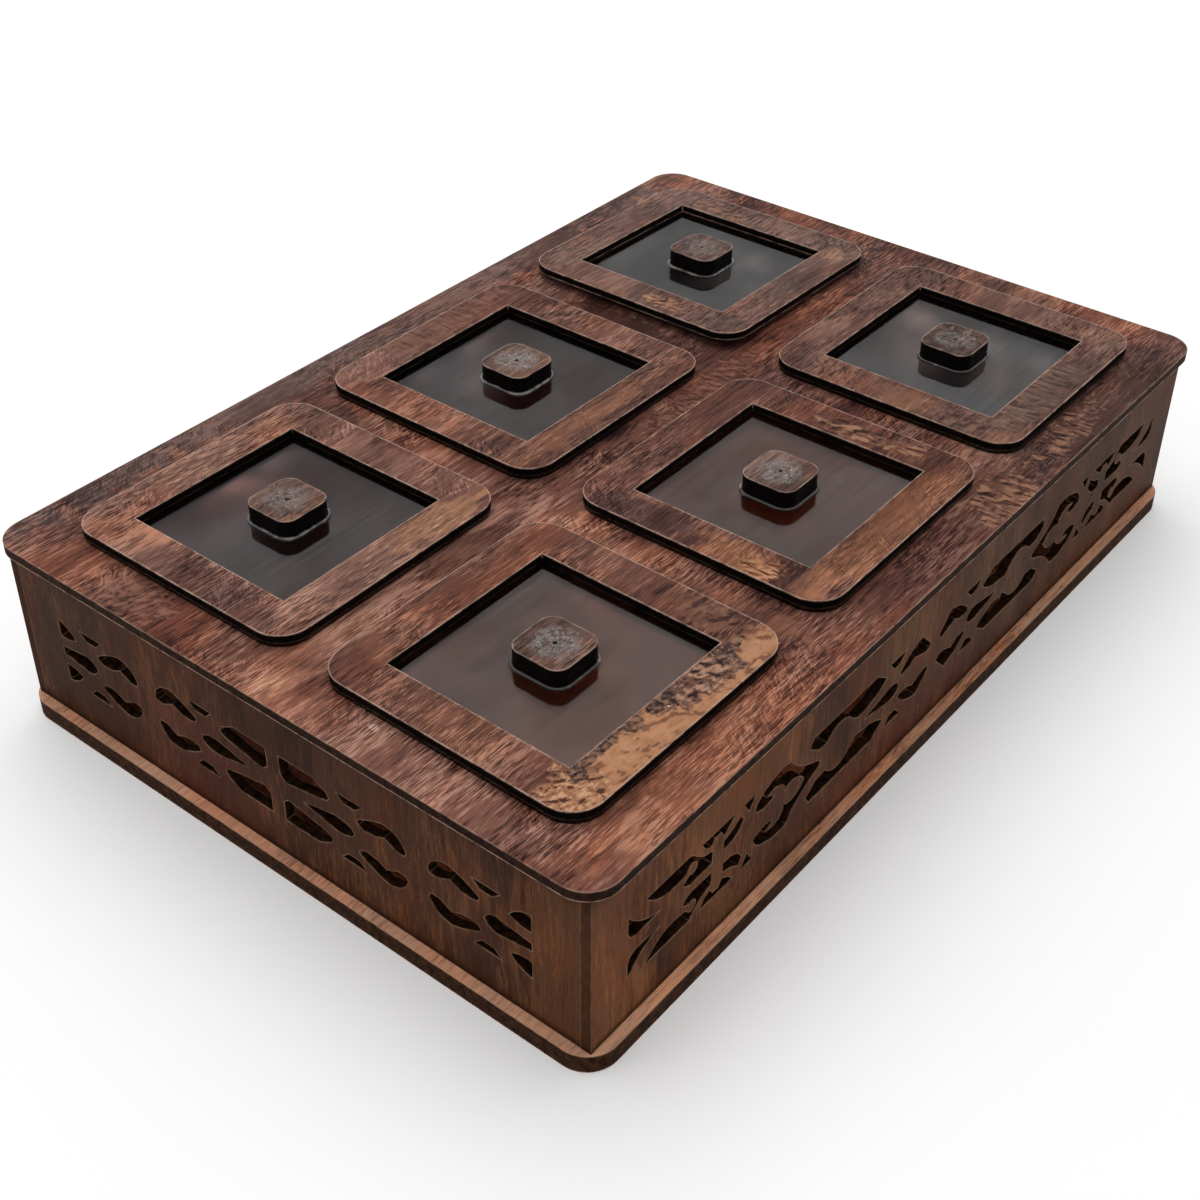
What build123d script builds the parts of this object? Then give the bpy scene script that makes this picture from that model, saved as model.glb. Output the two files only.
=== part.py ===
from build123d import *
import math
import os

# Compartment serving box, cut from thin board: a base, four pierced walls, a grid of dividers,
# a top plate with square openings, and one lid for each opening that lifts straight off.
# The origin is the centre of the underside. X runs along the length, Y along the width and Z up.
# All sizes are in millimetres, and all angles in degrees.

# Box
box_length = 300.0
box_width = 206.0
base_thickness = 5.5
wall_height = 50.5
wall_thickness = 3.0
wall_setback = 3.0  # from the edge of the base and top plate in to the walls
top_thickness = 3.0
plate_corner_radius = 9.0  # corners of the base and of the top plate

# Compartments
columns = ("left", "middle", "right")
rows = ("front", "back")
divider_thickness = 3.0
divider_play = 0.1  # at each end of a divider, and on each side of a slot

# Lids
lid_margin = 14.5  # from the edge of the top plate to the nearest lid
lid_gap_x = 12.5
lid_gap_y = 13.0
lid_corner_radius = 9.0
lid_bearing = 6.5  # strip of the lid that rests on the top plate round an opening
frame_thickness = 2.5
frame_bar = 12.5
pane_thickness = 1.1
ring_thickness = 3.0
ring_width = 4.0
ring_play = 1.5  # between the locating ring and its opening, on each side
knob_side = 17.0
knob_height = 5.5
knob_corner_radius = 4.0

# Fretwork in the walls, drawn for a wall whose pattern has these half sizes
long_pattern_half_length = 134.0
short_pattern_half_length = 83.0
pattern_half_height = 10.4
long_pattern_margin = 13.0  # from the end of the pattern to the end of a long wall
short_pattern_margin = 14.0  # the same on a short wall
strip_below_pattern = 12.8
strip_above_pattern = 16.0

# How each lid lies in its opening, by column and row: shift in X and in Y as a share of the play,
# turn seen from above, and the tilt of one lid whose left edge is caught a little high
lid_rest = {
    ("left", "front"): (-0.6, 0.25, -0.4, 0.0),
    ("left", "back"): (0.3, -0.3, 0.15, 0.0),
    ("middle", "front"): (0.15, 0.0, 0.3, 0.0),
    ("middle", "back"): (0.0, 0.0, 0.0, 0.0),
    ("right", "front"): (-0.25, -0.5, 0.0, 0.0),
    ("right", "back"): (-0.5, -0.1, 0.3, 1.3),
}

# Sizes that follow
wall_base = base_thickness
wall_top = wall_base + wall_height
wall_middle = wall_base + wall_height / 2
pattern_height = wall_height - strip_below_pattern - strip_above_pattern
pattern_drop = (strip_above_pattern - strip_below_pattern) / 2  # below the middle of the wall
top_surface = wall_top + top_thickness
outer_length = box_length - 2 * wall_setback
outer_width = box_width - 2 * wall_setback
inner_length = outer_length - 2 * wall_thickness
inner_width = outer_width - 2 * wall_thickness
lid_length = (box_length - 2 * lid_margin - (len(columns) - 1) * lid_gap_x) / len(columns)
lid_width = (box_width - 2 * lid_margin - (len(rows) - 1) * lid_gap_y) / len(rows)
pitch_x = lid_length + lid_gap_x
pitch_y = lid_width + lid_gap_y
opening_length = lid_length - 2 * lid_bearing
opening_width = lid_width - 2 * lid_bearing
ring_length = opening_length - 2 * ring_play
ring_depth = opening_width - 2 * ring_play
column_x = {name: (i - (len(columns) - 1) / 2) * pitch_x for i, name in enumerate(columns)}
row_y = {name: (i - (len(rows) - 1) / 2) * pitch_y for i, name in enumerate(rows)}
cross_x = {"left": -pitch_x / 2, "right": pitch_x / 2}
slot_width = divider_thickness + 2 * divider_play
slot_depth = wall_height / 2 + divider_play

os.makedirs("parts", exist_ok=True)


def finish_piece(builder, name):
    """Label the piece and write it to its own file."""
    builder.part.label = name
    export_step(builder.part, f"parts/{name}.step")


# Base plate
with BuildPart() as base_plate:
    with BuildSketch():
        RectangleRounded(box_length, box_width, plate_corner_radius)
    extrude(amount=base_thickness)
finish_piece(base_plate, "base_plate")


# One opening of the fretwork. Each step is the end point of a straight edge, or a pair of points
# that an arc passes through and ends at, and a straight edge closes the outline where the steps
# don't. An opening that lies across the long axis of the pattern starts and ends on that axis,
# and its other half is the mirror image.
def opening(start, *steps, across_axis=False):
    with BuildSketch() as shape:
        with BuildLine():
            here = start
            for step in steps:
                if isinstance(step[0], tuple):
                    ThreePointArc(here, step[0], step[1])
                    here = step[1]
                else:
                    Line(here, step)
                    here = step
            if across_axis:
                mirror(about=Plane.XZ)
            elif here != start:
                Line(here, start)
        make_face()
    return shape.sketch


# Quarter of the long pattern, from the middle of the wall to its right end
def long_quarter(p):
    return [
        # bent leaf beside the middle
        opening(p(7.5, 9.5), p(2.2, 4.4), p(2.6, 3.1), p(4.4, 2.7), p(7.2, 3.5),
                p(10.3, 4.7), p(13.2, 3.3), p(17, 2.9), p(18, 4), (p(13, 7.8), p(7.5, 9.5))),
        # flat triangle above it
        opening(p(15.7, 10.4), p(18.8, 7.5), p(21.6, 7.8), p(24, 10.4)),
        # long leaf over the disc
        opening(p(30.3, 10.4), p(25, 7), (p(30.4, 4.1), p(36, 3.2)), p(38.6, 2.9), p(41, 4.2),
                (p(47, 7.3), p(53, 4.5)), p(57, 4.8), p(61.4, 7.9), p(59.8, 10.4)),
        # triangle beside the palmette
        opening(p(84.6, 10.4), p(87.3, 6.7), p(89.6, 10.4)),
        # leaf before the cross
        opening(p(97.5, 2.2), p(97.5, 4.9), p(93.6, 6.2), p(90.8, 8), p(89.4, 5.9),
                p(91.4, 3.5), p(94, 2.3)),
        # crescent above it
        opening(p(106.4, 10.4), p(104.8, 8), p(102.4, 6.9), p(101.2, 8.8), p(98.8, 8.8),
                p(97.6, 6.9), p(95.2, 8.2), p(92.8, 10.4)),
        # beak behind the cross and long leaf above it, joined round the ball of a tendril
        opening(p(127.5, 10.4), (p(122.4, 6.6), p(115, 5.5)), p(112.4, 5.8), p(111.3, 6.9),
                (p(108, 5.9), p(110.9, 4.7)), p(113.5, 3.4), p(112.9, 2.4), p(111, 1.4),
                p(102, 1.4), p(101.8, 5.2), p(105.6, 6.3), p(108.6, 8.6), p(110.4, 10.4)),
        # horn at the end
        opening(p(134, 9.7), p(134, 4.7), p(133, 3), p(131, 2.2), p(121, 2.5),
                (p(128.8, 4.9), p(134, 9.7))),
    ]


# Openings of the long pattern that lie across its axis
def long_middle(p):
    return [
        # drop between the long leaves
        opening(p(35.5, 0), p(22.5, 2.4), p(20.2, 2.2), p(18.6, 1.3), p(18, 0), across_axis=True),
        # palmette, open to the end of the wall
        opening(p(55.6, 0), p(56.4, 1), p(61, 3), (p(66.2, 6.0), p(70, 10)), (p(75.2, 10.3), p(79.5, 9)),
                (p(83.2, 7.1), p(84.8, 4.5)), (p(81.8, 3.2), p(76.6, 3.7)), p(77.4, 5),
                p(80, 5.6), p(76.4, 6.4), p(73.5, 5.4), p(72, 3.9), p(72, 2), p(70.9, 3), p(69, 3.2),
                (p(65.6, 2.4), p(63, 0)), across_axis=True),
    ]


# Quarter of the short pattern. Its leaf and flat triangle come twice, mirrored about leaf_axis.
leaf_axis = 48.0


def short_quarter(p):
    leaf = opening(p(28.5, 5.3), (p(32.2, 7.4), p(37, 9.3)), (p(42.2, 8), p(44.6, 4.4)),
                   p(44, 3.3), p(41.6, 3.2), p(37.5, 5.2), p(34.4, 3.7), p(31, 3.4), p(29, 4))
    triangle = opening(p(22, 10.4), p(24.6, 8.1), p(28.2, 8.1), p(30.8, 10.4))
    far_side = Plane.YZ.offset(p(leaf_axis, 0)[0])
    return [
        leaf,
        triangle,
        mirror(leaf, about=far_side, mode=Mode.PRIVATE),
        mirror(triangle, about=far_side, mode=Mode.PRIVATE),
        # leaf beside the middle
        opening(p(2.3, 10.4), p(14, 10.4), p(18.6, 8), p(19.3, 6.6), p(18.4, 5.5), p(13.5, 4.4),
                p(4.3, 2.8), p(2.3, 4.4)),
        # corner leaf at the end
        opening(p(83, 10), (p(79.1, 8.6), p(76.3, 6)), p(79.4, 4.8), p(83, 4.6)),
    ]


# Openings of the short pattern that lie across its axis
def short_middle(p):
    return [
        # drop between the leaves
        opening(p(9.5, 0), p(21, 2.4), p(24.2, 2.2), p(26.5, 1.2), p(27.3, 0), across_axis=True),
        # half drop at the end
        opening(p(68.7, 0), (p(70.4, 1.9), p(74.5, 2.4)), p(83, 1.2), p(83, 0), across_axis=True),
    ]


# The whole pattern, stretched to the wall that it is cut in
def fretwork(quarter, middle, half_length, wanted_half_length):
    stretch_x = wanted_half_length / half_length
    stretch_y = pattern_height / 2 / pattern_half_height

    def place(x, y):
        return (x * stretch_x, y * stretch_y)

    with BuildSketch() as pattern:
        add(quarter(place))
        mirror(about=Plane.XZ)
        add(middle(place))
        mirror(about=Plane.YZ)
    return pattern.sketch


long_pattern = fretwork(long_quarter, long_middle, long_pattern_half_length,
                        outer_length / 2 - long_pattern_margin)
short_pattern = fretwork(short_quarter, short_middle, short_pattern_half_length,
                         inner_width / 2 - short_pattern_margin)


# A wall is drawn on its outer face, seen from outside, and extruded inwards
def make_wall(name, outer_face, length, pattern):
    with BuildPart() as wall:
        with BuildSketch(outer_face):
            Rectangle(length, wall_height)
            with Locations((0, -pattern_drop)):
                add(pattern, mode=Mode.SUBTRACT)
        extrude(amount=-wall_thickness)
    finish_piece(wall, name)


# The long walls run the full length, and the short walls stand between them
make_wall("front_wall", Plane((0, -outer_width / 2, wall_middle), (1, 0, 0), (0, -1, 0)),
          outer_length, long_pattern)
make_wall("back_wall", Plane((0, outer_width / 2, wall_middle), (-1, 0, 0), (0, 1, 0)),
          outer_length, long_pattern)
make_wall("left_wall", Plane((-outer_length / 2, 0, wall_middle), (0, -1, 0), (-1, 0, 0)),
          inner_width, short_pattern)
make_wall("right_wall", Plane((outer_length / 2, 0, wall_middle), (0, 1, 0), (1, 0, 0)),
          inner_width, short_pattern)


# Long divider, slotted from above for the two cross dividers
with BuildPart() as long_divider:
    with BuildSketch(Plane.XZ.offset(-divider_thickness / 2)):
        with Locations((0, wall_middle)):
            Rectangle(inner_length - 2 * divider_play, wall_height)
        with Locations(*[(x, wall_top) for x in cross_x.values()]):
            Rectangle(slot_width, slot_depth, align=(Align.CENTER, Align.MAX), mode=Mode.SUBTRACT)
    extrude(amount=divider_thickness)
finish_piece(long_divider, "long_divider")

# Cross dividers, slotted from below for the long one
for side, x in cross_x.items():
    with BuildPart() as cross_divider:
        with BuildSketch(Plane.YZ.offset(x - divider_thickness / 2)):
            with Locations((0, wall_middle)):
                Rectangle(inner_width - 2 * divider_play, wall_height)
            with Locations((0, wall_base)):
                Rectangle(slot_width, slot_depth, align=(Align.CENTER, Align.MIN), mode=Mode.SUBTRACT)
        extrude(amount=divider_thickness)
    finish_piece(cross_divider, f"cross_divider_{side}")


# Top plate, with one square opening for each lid
with BuildPart() as top_plate:
    with BuildSketch(Plane.XY.offset(wall_top)):
        RectangleRounded(box_length, box_width, plate_corner_radius)
        with GridLocations(pitch_x, pitch_y, len(columns), len(rows)):
            Rectangle(opening_length, opening_width, mode=Mode.SUBTRACT)
    extrude(amount=top_thickness)
finish_piece(top_plate, "top_plate")


# The plane of a lid's underside, which rests on the top plate. A tilted lid stands on its right edge.
def lid_seat(column, row):
    share_x, share_y, turn, tilt = lid_rest[(column, row)]
    rise = lid_length / 2 * math.sin(math.radians(tilt))
    centre = (column_x[column] + share_x * ring_play, row_y[row] + share_y * ring_play,
              top_surface + rise)
    across = Axis((0, 0, 0), Vector(0, 1, 0).rotate(Axis.Z, turn))
    along = Vector(1, 0, 0).rotate(Axis.Z, turn).rotate(across, tilt)
    upright = Vector(0, 0, 1).rotate(across, tilt)
    return Plane(centre, along, upright)


# A lid: the frame above, the clear pane under it, the locating ring under the pane,
# and the knob in the middle of the pane
def make_lid(name, seat):
    pane_top = seat.offset(pane_thickness)

    with BuildPart() as frame:
        with BuildSketch(pane_top):
            RectangleRounded(lid_length, lid_width, lid_corner_radius)
            Rectangle(lid_length - 2 * frame_bar, lid_width - 2 * frame_bar, mode=Mode.SUBTRACT)
        extrude(amount=frame_thickness)
    finish_piece(frame, f"{name}_frame")

    with BuildPart() as pane:
        with BuildSketch(seat):
            RectangleRounded(lid_length, lid_width, lid_corner_radius)
        extrude(amount=pane_thickness)
    finish_piece(pane, f"{name}_pane")

    with BuildPart() as ring:
        with BuildSketch(seat):
            Rectangle(ring_length, ring_depth)
            Rectangle(ring_length - 2 * ring_width, ring_depth - 2 * ring_width, mode=Mode.SUBTRACT)
        extrude(amount=-ring_thickness)
    finish_piece(ring, f"{name}_ring")

    with BuildPart() as knob:
        with BuildSketch(pane_top):
            RectangleRounded(knob_side, knob_side, knob_corner_radius)
        extrude(amount=knob_height)
    finish_piece(knob, f"{name}_knob")


for column in columns:
    for row in rows:
        make_lid(f"{row}_{column}", lid_seat(column, row))
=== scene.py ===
import bpy
import bmesh
import math
from mathutils import Matrix, Vector


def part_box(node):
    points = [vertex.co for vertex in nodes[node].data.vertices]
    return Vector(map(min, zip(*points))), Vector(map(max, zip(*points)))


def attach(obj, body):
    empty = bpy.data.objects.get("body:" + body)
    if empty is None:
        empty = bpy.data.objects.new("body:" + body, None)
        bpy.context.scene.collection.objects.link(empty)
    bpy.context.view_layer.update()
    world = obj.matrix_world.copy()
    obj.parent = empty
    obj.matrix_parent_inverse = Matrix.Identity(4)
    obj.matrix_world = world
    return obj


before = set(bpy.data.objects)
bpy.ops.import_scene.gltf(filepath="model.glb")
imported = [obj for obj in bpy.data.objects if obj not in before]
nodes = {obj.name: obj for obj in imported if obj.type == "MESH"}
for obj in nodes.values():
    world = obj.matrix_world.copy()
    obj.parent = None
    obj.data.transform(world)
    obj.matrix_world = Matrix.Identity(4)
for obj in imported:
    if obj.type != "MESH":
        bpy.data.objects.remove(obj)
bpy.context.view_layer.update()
print("frame loaded:", len(nodes), "boards and panes")

# colours, nodes and groups

nodeGap = 190  # from one node to the next in the editor


def stain(red, green, blue):
    # a colour given 0 to 255 a channel, as a linear colour
    channels = []
    for value in (red, green, blue):
        value /= 255
        channels.append(value / 12.92 if value <= 0.04045 else ((value + 0.055) / 1.055) ** 2.4)
    return (*channels, 1.0)


def fill(tree, node, sockets):
    # a value or a link for each socket that is named
    node.location = (nodeGap * len(tree.nodes), 0)
    for name, value in sockets.items():
        if isinstance(value, bpy.types.NodeSocket):
            tree.links.new(value, node.inputs[name])
        else:
            node.inputs[name].default_value = value
    return node


def put(tree, kind, sockets=None, **settings):
    node = tree.nodes.new("ShaderNode" + kind)
    for name, value in settings.items():
        setattr(node, name, value)
    return fill(tree, node, sockets or {})


def calc(tree, operation, first, second=0.0, clamp=False):
    return put(tree, "Math", {0: first, 1: second}, operation=operation, use_clamp=clamp).outputs[0]


def total(tree, first, *others):
    for other in others:
        first = calc(tree, "ADD", first, other)
    return first


def product(tree, first, *others):
    for other in others:
        first = calc(tree, "MULTIPLY", first, other)
    return first


def swing(tree, pattern, share):
    # a pattern round 0.5, as a push up or down
    return product(tree, calc(tree, "SUBTRACT", pattern, 0.5), share)


def vectorCalc(tree, operation, first, second=(0, 0, 0), result="Vector"):
    return put(tree, "VectorMath", {0: first, 1: second}, operation=operation).outputs[result]


def stretched(tree, vector, factors):
    return vectorCalc(tree, "MULTIPLY", vector, factors)


def scaled(tree, vector, factor):
    return put(tree, "VectorMath", {0: vector, "Scale": factor}, operation="SCALE").outputs[0]


def tint(tree, factor, first, second, mode="MIX"):
    mix = put(tree, "Mix", {0: factor, 6: first, 7: second}, data_type="RGBA", blend_type=mode)
    return mix.outputs[2]


def blend(tree, factor, first, second):
    return put(tree, "Mix", {0: factor, 2: first, 3: second}, data_type="FLOAT").outputs[0]


def fade(tree, value, low, high, lowResult=0.0, highResult=1.0):
    sockets = {"Value": value, "From Min": low, "From Max": high, "To Min": lowResult,
               "To Max": highResult}
    return put(tree, "MapRange", sockets, interpolation_type="SMOOTHSTEP").outputs[0]


def cloud(tree, vector, scale, detail=2.0, roughness=0.5, distortion=0.0):
    sockets = {"Vector": vector, "Scale": scale, "Detail": detail, "Roughness": roughness,
               "Distortion": distortion}
    return put(tree, "TexNoise", sockets).outputs[0]


def reach(tree, place, axis):
    # how far a point lies from the middle of the box along X or Y, or above the table along Z
    return calc(tree, "ABSOLUTE", put(tree, "SeparateXYZ", {0: place}).outputs[axis])


def startGroup(name, inputs, outputs):
    # inputs and outputs are name: socket type, or name: (socket type, default value)
    tree = bpy.data.node_groups.new(name, "ShaderNodeTree")
    for direction, wanted in (("INPUT", inputs), ("OUTPUT", outputs)):
        for label, kind in wanted.items():
            kind, value = kind if isinstance(kind, tuple) else (kind, None)
            socket = tree.interface.new_socket(label, in_out=direction, socket_type="NodeSocket" + kind)
            if value is not None:
                socket.default_value = value
    return tree, tree.nodes.new("NodeGroupInput").outputs, tree.nodes.new("NodeGroupOutput").inputs


def finishGroup(tree, outside, **results):
    for name, socket in results.items():
        tree.links.new(socket, outside[name])
    return tree


def useGroup(tree, group, **sockets):
    node = tree.nodes.new("ShaderNodeGroup")
    node.node_tree = group
    return fill(tree, node, sockets).outputs


def startMaterial(name):
    material = bpy.data.materials.new(name)
    material.use_nodes = True
    tree = material.node_tree
    return material, tree, tree.nodes["Principled BSDF"], put(tree, "TexCoord").outputs["Object"]


def cover(nodeNames, material):
    # gives CAD nodes their finish; their meshes stay as they are
    for name in nodeNames:
        for slot in nodes[name].material_slots:
            slot.material = material


# stained board: bands, streaks, fibres and pores that run along X of the given vector

grainLook = {
    # each pattern's stretch along the board, size, detail, roughness and distortion
    "bands": (0.35, 30, 3, 0.6, 0.8), "blotches": (0.5, 85, 3, 0.6, 0.5),
    "streaks": (0.08, 760, 3, 0.65, 0.1), "fibres": (0.09, 2300, 2, 0.7, 0.0),
    "pores": (0.16, 1350, 1, 0.5, 0.0), "flecks": (0.18, 2000, 1, 0.5, 0.0),
    "fineness": (1, 34, 3, 0.6, 0.0), "warmth": (0.5, 45, 3, 0.6, 0.5),
    "curl": (0.2, 1400, 2, 0.6, 0.8), "curlPlaces": (1, 36, 2, 0.6, 0.0),
    # how far each pattern moves the tone of the stain
    "bandPush": 2.0, "blotchPush": 1.2, "streakPush": 1.3, "fibrePush": 3.4, "curlPush": 2.0,
    "curlSlant": math.radians(-48), "fleckShare": 0.35, "poreColor": stain(28, 17, 17),
    "warmShare": 0.55, "warmTint": (1.35, 0.95, 0.68, 1), "curlRelief": 2.0, "poreRelief": 0.6,
}


def grainPattern(tree, vector, name):
    stretch, size, detail, roughness, distortion = grainLook[name]
    return cloud(tree, stretched(tree, vector, (stretch, 1, 1)), size, detail, roughness, distortion)


tree, inside, outside = startGroup(
    "boardGrain",
    {"Vector": "Vector", "Light": "Color", "Middle": "Color", "Dark": "Color",
     "Pores": ("Float", 0.5), "Ripple": ("Float", 0.3), "Bands": ("Float", 1.0), "Fine": ("Float", 1.0)},
    {"Color": "Color", "Height": "Float", "Sheen": "Float"})
along = inside["Vector"]
fineness = fade(tree, grainPattern(tree, along, "fineness"), 0.38, 0.62, 0.25, 1.0)
fineness = product(tree, fineness, inside["Fine"])
blotches = swing(tree, grainPattern(tree, along, "blotches"), grainLook["blotchPush"])
bands = swing(tree, grainPattern(tree, along, "bands"), grainLook["bandPush"])
streaks = grainPattern(tree, along, "streaks")
fibres = swing(tree, grainPattern(tree, along, "fibres"), fineness)
slanted = put(tree, "Mapping", {"Vector": along, "Rotation": (0, 0, grainLook["curlSlant"])}).outputs[0]
curlPlaces = fade(tree, grainPattern(tree, along, "curlPlaces"), 0.54, 0.66)
curl = swing(tree, grainPattern(tree, slanted, "curl"), product(tree, curlPlaces, inside["Ripple"]))
tone = total(tree, product(tree, total(tree, blotches, bands), inside["Bands"]),
             swing(tree, streaks, grainLook["streakPush"]),
             product(tree, fibres, grainLook["fibrePush"]),
             product(tree, curl, grainLook["curlPush"]), 0.5)
color = tint(tree, fade(tree, tone, 0.0, 0.5), inside["Dark"], inside["Middle"])
color = tint(tree, fade(tree, tone, 0.5, 1.0), color, inside["Light"])
warmth = fade(tree, grainPattern(tree, along, "warmth"), 0.42, 0.66, 0.0, grainLook["warmShare"])
color = tint(tree, warmth, color, tint(tree, 1.0, color, grainLook["warmTint"], "MULTIPLY"))
pores = fade(tree, grainPattern(tree, along, "pores"), 0.6, 0.68)
pores = product(tree, pores, inside["Pores"], fineness)
color = tint(tree, pores, color, grainLook["poreColor"])
flecks = fade(tree, grainPattern(tree, along, "flecks"), 0.6, 0.72)
color = tint(tree, product(tree, flecks, grainLook["fleckShare"], fineness), color, inside["Light"])
height = total(tree, fibres, product(tree, curl, grainLook["curlRelief"]))
height = calc(tree, "SUBTRACT", height, product(tree, pores, grainLook["poreRelief"]))
boardGrain = finishGroup(tree, outside, Color=color, Height=height, Sheen=total(tree, streaks, pores))

# crinkled figure: lumps with a painted highlight on one side and painted shade on the other, with dark
# cracks between them

crinkleLook = {"bend": 1.6, "litSide": (0.7, 0.5, 0), "litStep": 0.4, "crackWidth": 0.14,
               "mottleSize": 190, "mottleShare": 0.6, "shine": 0.8, "lumpRelief": 1.8}
tree, inside, outside = startGroup(
    "crinkle", {"Vector": "Vector", "Stretch": ("Vector", (1, 1, 1)), "Scale": ("Float", 300.0),
                "Light": "Color", "Middle": "Color", "Dark": "Color", "Cracks": ("Float", 0.5),
                "Relief": ("Float", 0.5)},
    {"Color": "Color", "Height": "Float"})
size, relief = inside["Scale"], inside["Relief"]
pulled = stretched(tree, inside["Vector"], inside["Stretch"])
warp = put(tree, "TexNoise", {"Vector": pulled, "Scale": product(tree, size, 0.5), "Detail": 2})
warp = vectorCalc(tree, "SUBTRACT", warp.outputs["Color"], (0.5, 0.5, 0.5))
warp = scaled(tree, warp, calc(tree, "DIVIDE", crinkleLook["bend"], size))
bent = vectorCalc(tree, "ADD", pulled, warp)
folds = put(tree, "TexVoronoi", {"Vector": bent, "Scale": size}, feature="DISTANCE_TO_EDGE")
lumps = cloud(tree, bent, size, 2, 0.5)
aside = scaled(tree, crinkleLook["litSide"], calc(tree, "DIVIDE", crinkleLook["litStep"], size))
lit = calc(tree, "SUBTRACT", lumps, cloud(tree, vectorCalc(tree, "ADD", bent, aside), size, 2, 0.5))
crackPlaces = fade(tree, cloud(tree, pulled, product(tree, size, 0.3), 2, 0.6), 0.44, 0.58)
cracks = fade(tree, folds.outputs["Distance"], 0.0, crinkleLook["crackWidth"], 1.0, 0.0)
cracks = product(tree, cracks, crackPlaces, inside["Cracks"])
mottle = cloud(tree, inside["Vector"], crinkleLook["mottleSize"], 3, 0.6, 0.5)
mottle = fade(tree, mottle, 0.42, 0.74, 0.0, crinkleLook["mottleShare"])
color = tint(tree, mottle, inside["Middle"], inside["Light"])
# painted shade on the slopes that face away from the light and a painted highlight on the slopes that
# face it
shade = product(tree, fade(tree, lit, -0.13, -0.02, 1.0, 0.0), relief)
color = tint(tree, shade, color, inside["Dark"])
shine = product(tree, fade(tree, lit, 0.02, 0.12), relief, crinkleLook["shine"])
color = tint(tree, shine, color, inside["Light"])
color = tint(tree, cracks, color, inside["Dark"])
height = calc(tree, "SUBTRACT", product(tree, lumps, crinkleLook["lumpRelief"]), cracks)
crinkle = finishGroup(tree, outside, Color=color, Height=height)

# place of one patch: 1 inside an ellipse with a ragged edge, 0 outside

tree, inside, outside = startGroup(
    "patch", {"Vector": "Vector", "Centre": "Vector", "Half Size": ("Vector", (1, 1, 1)),
              "Pull": ("Vector", (1, 1, 1)), "Ragged": ("Float", 0.5)}, {"Mask": "Float"})
away = vectorCalc(tree, "SUBTRACT", inside["Vector"], inside["Centre"])
away = vectorCalc(tree, "DIVIDE", away, inside["Half Size"])
away = vectorCalc(tree, "LENGTH", away, result="Value")
border = cloud(tree, stretched(tree, inside["Vector"], inside["Pull"]), 200, 4, 0.65, 0.6)
away = total(tree, away, swing(tree, border, product(tree, inside["Ragged"], 4)))
patch = finishGroup(tree, outside, Mask=fade(tree, away, 0.75, 1.15, 1.0, 0.0))

# scorched edge of a laser cut: every face that looks away from the board's own direction

tree, inside, outside = startGroup("cutEdge", {"Across": ("Vector", (0, 0, 1))}, {"Mask": "Float"})
facing = put(tree, "TexCoord").outputs["Normal"]
facing = calc(tree, "ABSOLUTE", vectorCalc(tree, "DOT_PRODUCT", facing, inside["Across"], "Value"))
cutEdge = finishGroup(tree, outside, Mask=fade(tree, facing, 0.6, 0.9, 1.0, 0.0))

# thin line along every arris, partly wear and partly a painted highlight, and a normal that is slightly
# rounded there

arrisLook = {"samples": 6, "rounding": 0.4, "wornAndLit": (0.86, 0.965), "patchSize": 240, "leastWearAndHighlight": 0.3}
tree, inside, outside = startGroup(
    "arrisWearAndHighlight", {"Vector": "Vector", "Width": ("Float", 0.0009), "Amount": ("Float", 0.5)},
    {"Mask": "Float", "Normal": "Vector"})
rounded = put(tree, "Bevel", {"Radius": inside["Width"]}, samples=arrisLook["samples"]).outputs[0]
flat = put(tree, "NewGeometry").outputs["True Normal"]
turned = vectorCalc(tree, "DOT_PRODUCT", rounded, flat, "Value")
# the arris line: partly wear, partly a painted highlight
wornAndLit = fade(tree, turned, *arrisLook["wornAndLit"], 1.0, 0.0)
broken = cloud(tree, inside["Vector"], arrisLook["patchSize"], 3, 0.6)
broken = fade(tree, broken, 0.36, 0.6, arrisLook["leastWearAndHighlight"], 1.0)
softened = put(tree, "Mix", {0: arrisLook["rounding"], 4: flat, 5: rounded}, data_type="VECTOR")
arrisWearAndHighlight = finishGroup(tree, outside, Mask=product(tree, wornAndLit, broken, inside["Amount"]),
                        Normal=vectorCalc(tree, "NORMALIZE", softened.outputs[1]))

# a few bright specks of dust

tree, inside, outside = startGroup(
    "dustSpecks", {"Vector": "Vector", "Scale": ("Float", 95.0), "Size": ("Float", 0.024),
                   "Share": ("Float", 0.25)}, {"Mask": "Float"})
cell = put(tree, "TexVoronoi", {"Vector": inside["Vector"], "Scale": inside["Scale"]}).outputs
near = calc(tree, "LESS_THAN", cell["Distance"], inside["Size"])
chosen = put(tree, "SeparateColor", {0: cell["Color"]}).outputs[0]
chosen = calc(tree, "LESS_THAN", chosen, inside["Share"])
dustSpecks = finishGroup(tree, outside, Mask=product(tree, near, chosen))
print("shared effects built")

# patches on a board, and the board's material

spotLook = {"plainShare": 0.4, "mostGain": 2.4}  # share of plain colour, most brightening by a stain
softBorder = 0.001  # of the shaded floor of the compartments
dustColor = stain(225, 215, 205)


def spot(x, y, halfX, halfY, amount, color, ragged=0.5, pull=(1, 1, 1), **crinkled):
    # a patch on a level board, in millimetres; crinkled gives the figure that fills it
    return dict(crinkled, centre=(x / 1000, y / 1000, 0), half=(halfX / 1000, halfY / 1000, 1),
                amount=amount, color=color, ragged=ragged, pull=pull)


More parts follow.
